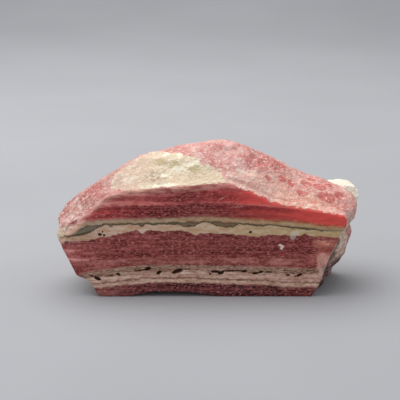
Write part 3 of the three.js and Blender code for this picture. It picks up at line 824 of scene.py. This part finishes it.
frayed_y = add(rock, "SeparateXYZ", {0: frayed}, out=1)
limits = []
for points in (PATCH_FAR, PATCH_NEAR):
    unit = [(on_curve(px), (py + Y_HALF) / (2 * Y_HALF)) for px, py in points]
    limit = add(rock, "FloatCurve", {0: 1.0, 1: along}, points=unit)
    limits.append(add(rock, "MapRange", {0: limit, 3: -Y_HALF, 4: Y_HALF}, clamp=False))
before_far = add(rock, "Math", {0: limits[0], 1: frayed_y}, operation="SUBTRACT")
after_near = add(rock, "Math", {0: y, 1: limits[1]}, operation="SUBTRACT")
patch = add(rock, "Math", {0: before_far, 1: after_near}, operation="MINIMUM")
patch = add(rock, "MapRange", {0: patch, 1: PATCH_SOFT_MM[0], 2: PATCH_SOFT_MM[1]}, **SOFT_STEP)
high_up = add(rock, "MapRange", {0: z, 1: PATCH_LOWEST, 2: PATCH_LOWEST + 1}, **SOFT_STEP)
there_is["patch"] = add(rock, "Math", {0: patch, 1: high_up}, operation="MULTIPLY")
print("nodes with the places:", len(rock.nodes))

# %% [markdown]
# ## The broken look
#
# Broken rhodochrosite is sugary: each small crystal face has its own tone, the whole is frosted with
# crushed grains, and deeper rose shows through where it is clean. The left shoulder has the coarsest
# crystals, white ones with dark rose between them. Crust and cream lie over that.

# %% Broken look
ALONG_X = {
    # name: x at which it starts and at which it is full
    "yellower": (-30, -12),
    "left end": (-22, -32),
    "right end": (12, 24),
}
yellower, left_end, right_end = (add(rock, "MapRange", {0: x, 1: start, 2: full}, **SOFT_STEP)
                                 for start, full in ALONG_X.values())

BROKEN_TINTS = [
    # pattern, place or trait, blend, colour, strength
    (crystal_tone, rosy, "MULTIPLY", "#e6c0bc", 0.8),
    (pattern["patches"], rosy, "MULTIPLY", "#ecb8b4", 0.6),
    (pattern["frost"], None, "MIX", "#f4d2c8", 0.4),
    (None, there_is["deep rose"], "MULTIPLY", "#e8b0ae", 0.8),
    (None, there_is["lilac"], "MIX", "#e8bcb8", 0.4),
    (None, there_is["frosted"], "MIX", "#eebcaa", 0.65),
    (pattern["frost"], there_is["frosted"], "MIX", "#f8d6c2", 0.4),
    (None, there_is["warm"], "MULTIPLY", "#f8d0bc", 0.5),
    (pattern["frost"], there_is["warm"], "MIX", "#fce0cc", 0.5),
    (pattern["frost"], there_is["shoulder"], "MIX", "#fce4dc", 0.8),
    (crystal_tone, there_is["shoulder"], "MULTIPLY", "#c88480", 0.7),
    (pattern["cracks"], there_is["shoulder"], "MIX", "#943c40", 0.85),
    (pattern["flecks_and_glints"], there_is["shoulder"], "MIX", "#fff2ec", 0.9),
    (None, there_is["brown streak"], "MIX", "#cc8474", 0.8),
    (pattern["sugar"], None, "MIX", "#fce6de", 0.35),
    (None, there_is["cobble rims"], "MIX", "#f4cabc", 0.4),
    (None, there_is["cobbles"], "MIX", "#cc6862", 0.8),
    (pattern["frost"], there_is["crest"], "MIX", "#fbe4d4", 0.8),
    (pattern["crust"], None, "MIX", "#e4d2be", 0.2),
    (None, there_is["flank"], "MIX", "#f0dccc", 0.9),
    (pattern["clots"], there_is["flank"], "MULTIPLY", "#b49484", 0.7),
    # painted shade: darkens the lower part of the right flank, where it turns under
    (None, there_is["painted shade at flank foot"], "MULTIPLY", "#6c4c56", 0.9),
    (None, there_is["flake"], "MIX", "#f0b8a8", 0.9),
    # painted glints: these white flecks are partly white grains and partly painted sparkle of crystal faces
    # catching the light
    (pattern["flecks_and_glints"], None, "MIX", "#fff4ec", 0.7),
    (pattern["cracks"], None, "MIX", "#a05450", 0.35),
    (left_end, None, "MULTIPLY", "#e8e4e2", 1.0),
    (right_end, None, "MULTIPLY", "#fff9f7", 1.0),
    (None, there_is["patch"], "MIX", "#d0b29d", 0.97),
    (yellower, there_is["patch"], "MIX", "#e6ceb0", 1.0),
    (pattern["frost"], there_is["patch"], "MIX", "#f0e4cc", 0.5),
    (there_is["olive"], there_is["patch"], "MULTIPLY", "#dcdcc4", 0.8),
    (there_is["bright"], there_is["patch"], "MIX", "#fff6dc", 0.85),
    (pattern["clots"], there_is["speckled"], "MULTIPLY", "#b8b4ac", 0.6),
    (pattern["flecks_and_glints"], there_is["patch"], "MIX", "#fffaf0", 0.6),
    (None, there_is["lump"], "MIX", "#fff4e0", 0.95),
]
for share, where, blend, hex_value, strength in BROKEN_TINTS:
    if share is None or where is None:
        share = share or where
    else:
        share = add(rock, "Math", {0: share, 1: where}, operation="MULTIPLY")
    share = add(rock, "Math", {0: share, 1: strength}, operation="MULTIPLY")
    broken_colour = add(rock, "Mix", {0: share, 6: broken_colour, 7: colour(hex_value)}, out=2,
                        data_type="RGBA", blend_type=blend)

# %% [markdown]
# A worn groove runs down the right flank behind the cut, and its hollow is painted dark as shade.

# %% Painted shade in the groove
GROOVE_Y = -15.5
GROOVE_HALF = (0.5, 1.5)
GROOVE_X = (38, 40)
GROOVE_TOP = (27, 24)
# painted shade: the groove is painted dark where its hollow lies in shade
GROOVE_SHADE = ("#5c4844", 0.8)  # colour and strength

frayed_z = add(rock, "SeparateXYZ", {0: frayed}, out=2)
off_groove = add(rock, "Math", {0: frayed_y, 1: GROOVE_Y}, operation="SUBTRACT")
off_groove = add(rock, "Math", {0: off_groove}, operation="ABSOLUTE")
groove_shade = add(rock, "MapRange", {0: off_groove, 1: GROOVE_HALF[1], 2: GROOVE_HALF[0], 4: GROOVE_SHADE[1]}, **SOFT_STEP)
right = add(rock, "MapRange", {0: x, 1: GROOVE_X[0], 2: GROOVE_X[1]}, **SOFT_STEP)
low = add(rock, "MapRange", {0: frayed_z, 1: GROOVE_TOP[0], 2: GROOVE_TOP[1]}, **SOFT_STEP)
groove_shade = add(rock, "Math", {0: groove_shade, 1: right}, operation="MULTIPLY")
groove_shade = add(rock, "Math", {0: groove_shade, 1: low}, operation="MULTIPLY")
broken_colour = add(rock, "Mix", {0: groove_shade, 6: broken_colour, 7: colour(GROOVE_SHADE[0])}, out=2, data_type="RGBA")
print("nodes with the broken look:", len(rock.nodes))

# %% [markdown]
# ## Inside the pits
#
# The pits' walls are painted dark brown: partly a brown stain, partly painted shade of the hollows. A point
# is inside a pit when it lies just behind the cut, well away from the stone's two ends, and in a layer that
# has pits.

# %% Pit stain and painted shade
# partly a brown stain, partly painted shade of the pits' hollows
PIT_BROWN_AND_SHADE = "#5c3c2a"
PIT_MIDDLE_X = -2.2
PIT_SPAN = (38.6, 39.4)  # distance from PIT_MIDDLE_X over which the stain fades out
PIT_MOUTH_Y = (CUT_Y_MM + 0.12, CUT_Y_MM + 0.6)
PIT_FLOOR_Y = (CUT_Y_MM + 3, CUT_Y_MM + 2.5)  # no pit is deeper

inside = add(rock, "MapRange", {0: y, 1: PIT_MOUTH_Y[0], 2: PIT_MOUTH_Y[1]}, **SOFT_STEP)
near_cut = add(rock, "MapRange", {0: y, 1: PIT_FLOOR_Y[0], 2: PIT_FLOOR_Y[1]}, **SOFT_STEP)
from_middle = add(rock, "Math", {0: x, 1: PIT_MIDDLE_X}, operation="SUBTRACT")
from_middle = add(rock, "Math", {0: from_middle}, operation="ABSOLUTE")
middle_part = add(rock, "MapRange", {0: from_middle, 1: PIT_SPAN[1], 2: PIT_SPAN[0]}, **SOFT_STEP)
pit_layer = add(rock, "Math", {0: porous, 1: creamy}, operation="MAXIMUM")
dark = add(rock, "Math", {0: inside, 1: near_cut}, operation="MULTIPLY")
dark = add(rock, "Math", {0: dark, 1: middle_part}, operation="MULTIPLY")
dark = add(rock, "Math", {0: dark, 1: pit_layer}, operation="MULTIPLY")

# %% [markdown]
# Three results now become one colour: the sawn look on the cut, the broken look a little way behind it,
# and the pits' brown stain and painted shade over both.

# %% Put the looks together
stone_colour = add(rock, "Mix", {0: rough, 6: sawn_colour, 7: broken_colour}, out=2, data_type="RGBA")
stone_colour = add(rock, "Mix", {0: dark, 6: stone_colour, 7: colour(PIT_BROWN_AND_SHADE)}, out=2, data_type="RGBA")
print("colour comes from:", stone_colour.node.name)

# %% [markdown]
# ## Gloss and fine relief
#
# The cut is satin from the saw, and the broken faces glint a little. The cream is dull. Rhodochrosite bends
# light strongly, but grains and saw marks scatter most of what it reflects, so the mirror part is kept low.
# Grain finer than the mesh is drawn by a bump, in real millimetres.

# %% Gloss and bump
GRAIN_HEIGHT_SAWN = 0.02
GRAIN_HEIGHT_BROKEN = 0.13
CRYSTAL_HEIGHT = 0.2
BROKEN_ROUGHNESS = (0.42, 0.72)  # of the glossiest and of the dullest crystal
SAWN_ROUGHNESS = 0.5
CREAM_ROUGHNESS = 0.75
REFRACTION = 1.65
MIRROR_SHARE = 0.12

gloss = add(rock, "MapRange", {0: crystal_tone, 3: BROKEN_ROUGHNESS[0], 4: BROKEN_ROUGHNESS[1]}, clamp=False)
gloss = add(rock, "Mix", {0: rough, 2: SAWN_ROUGHNESS, 3: gloss})
gloss = add(rock, "Mix", {0: creamy, 2: gloss, 3: CREAM_ROUGHNESS})
grain_height = add(rock, "MapRange", {0: rough, 3: GRAIN_HEIGHT_SAWN, 4: GRAIN_HEIGHT_BROKEN}, clamp=False)
grain = add(rock, "Math", {0: pattern["sugar"], 1: grain_height}, operation="MULTIPLY")
facets = add(rock, "Math", {0: crystal_height, 1: CRYSTAL_HEIGHT}, operation="MULTIPLY")
facets = add(rock, "Math", {0: facets, 1: rough}, operation="MULTIPLY")
relief = add(rock, "Math", {0: grain, 1: facets}, operation="ADD")
normal = add(rock, "Bump", {"Height": relief, "Distance": MM, "Strength": 1.0})
shader = add(rock, "BsdfPrincipled", {"Base Color": stone_colour, "Roughness": gloss, "IOR": REFRACTION,
                                      "Specular IOR Level": MIRROR_SHARE, "Normal": normal})
rock.links.new(shader, rock_surface)
stone.data.materials.clear()
stone.data.materials.append(mineral)
for face in stone.data.polygons:
    face.material_index = 0
print("nodes in the mineral:", len(rock.nodes))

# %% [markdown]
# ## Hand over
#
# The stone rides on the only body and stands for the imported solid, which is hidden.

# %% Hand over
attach(stone, "root")
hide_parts(NODE)
